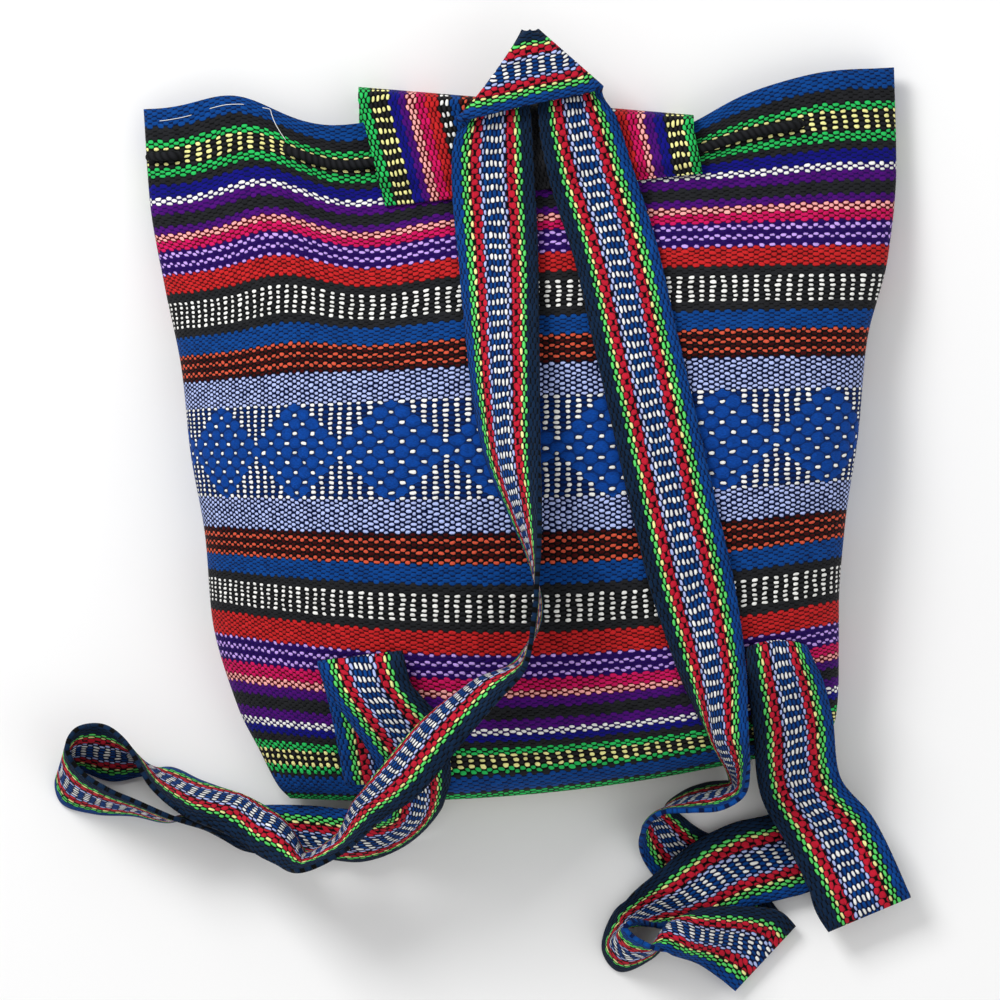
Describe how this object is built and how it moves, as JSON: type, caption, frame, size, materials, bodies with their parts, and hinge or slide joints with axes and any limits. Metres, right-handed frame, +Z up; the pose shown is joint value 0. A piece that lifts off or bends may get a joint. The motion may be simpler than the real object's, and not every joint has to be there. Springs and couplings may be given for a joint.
{
  "type": "woven backpack",
  "caption": "Striped woven drawstring backpack lying on its front, with a mouth flap and a patterned band as shoulder straps trailing on the floor.",
  "frame": {"origin": "on the flat front panel that lies on the floor, near the middle of the bag", "axes": "+Z up from the floor, +Y from the bottom fold towards the mouth, +X towards the right strap seen from above"},
  "size_m": [0.3958, 0.4436, 0.103],
  "materials": {
    "bag_cloth": "woven stripes",
    "flap_cloth": "woven stripes",
    "cord": "twisted cord",
    "band": "patterned woven band"
  },
  "bodies": {
    "root": {"bag_body": "bag_cloth", "flap": "flap_cloth", "drawstring": "cord", "shoulder_strap": "band"}
  },
  "joints": []
}
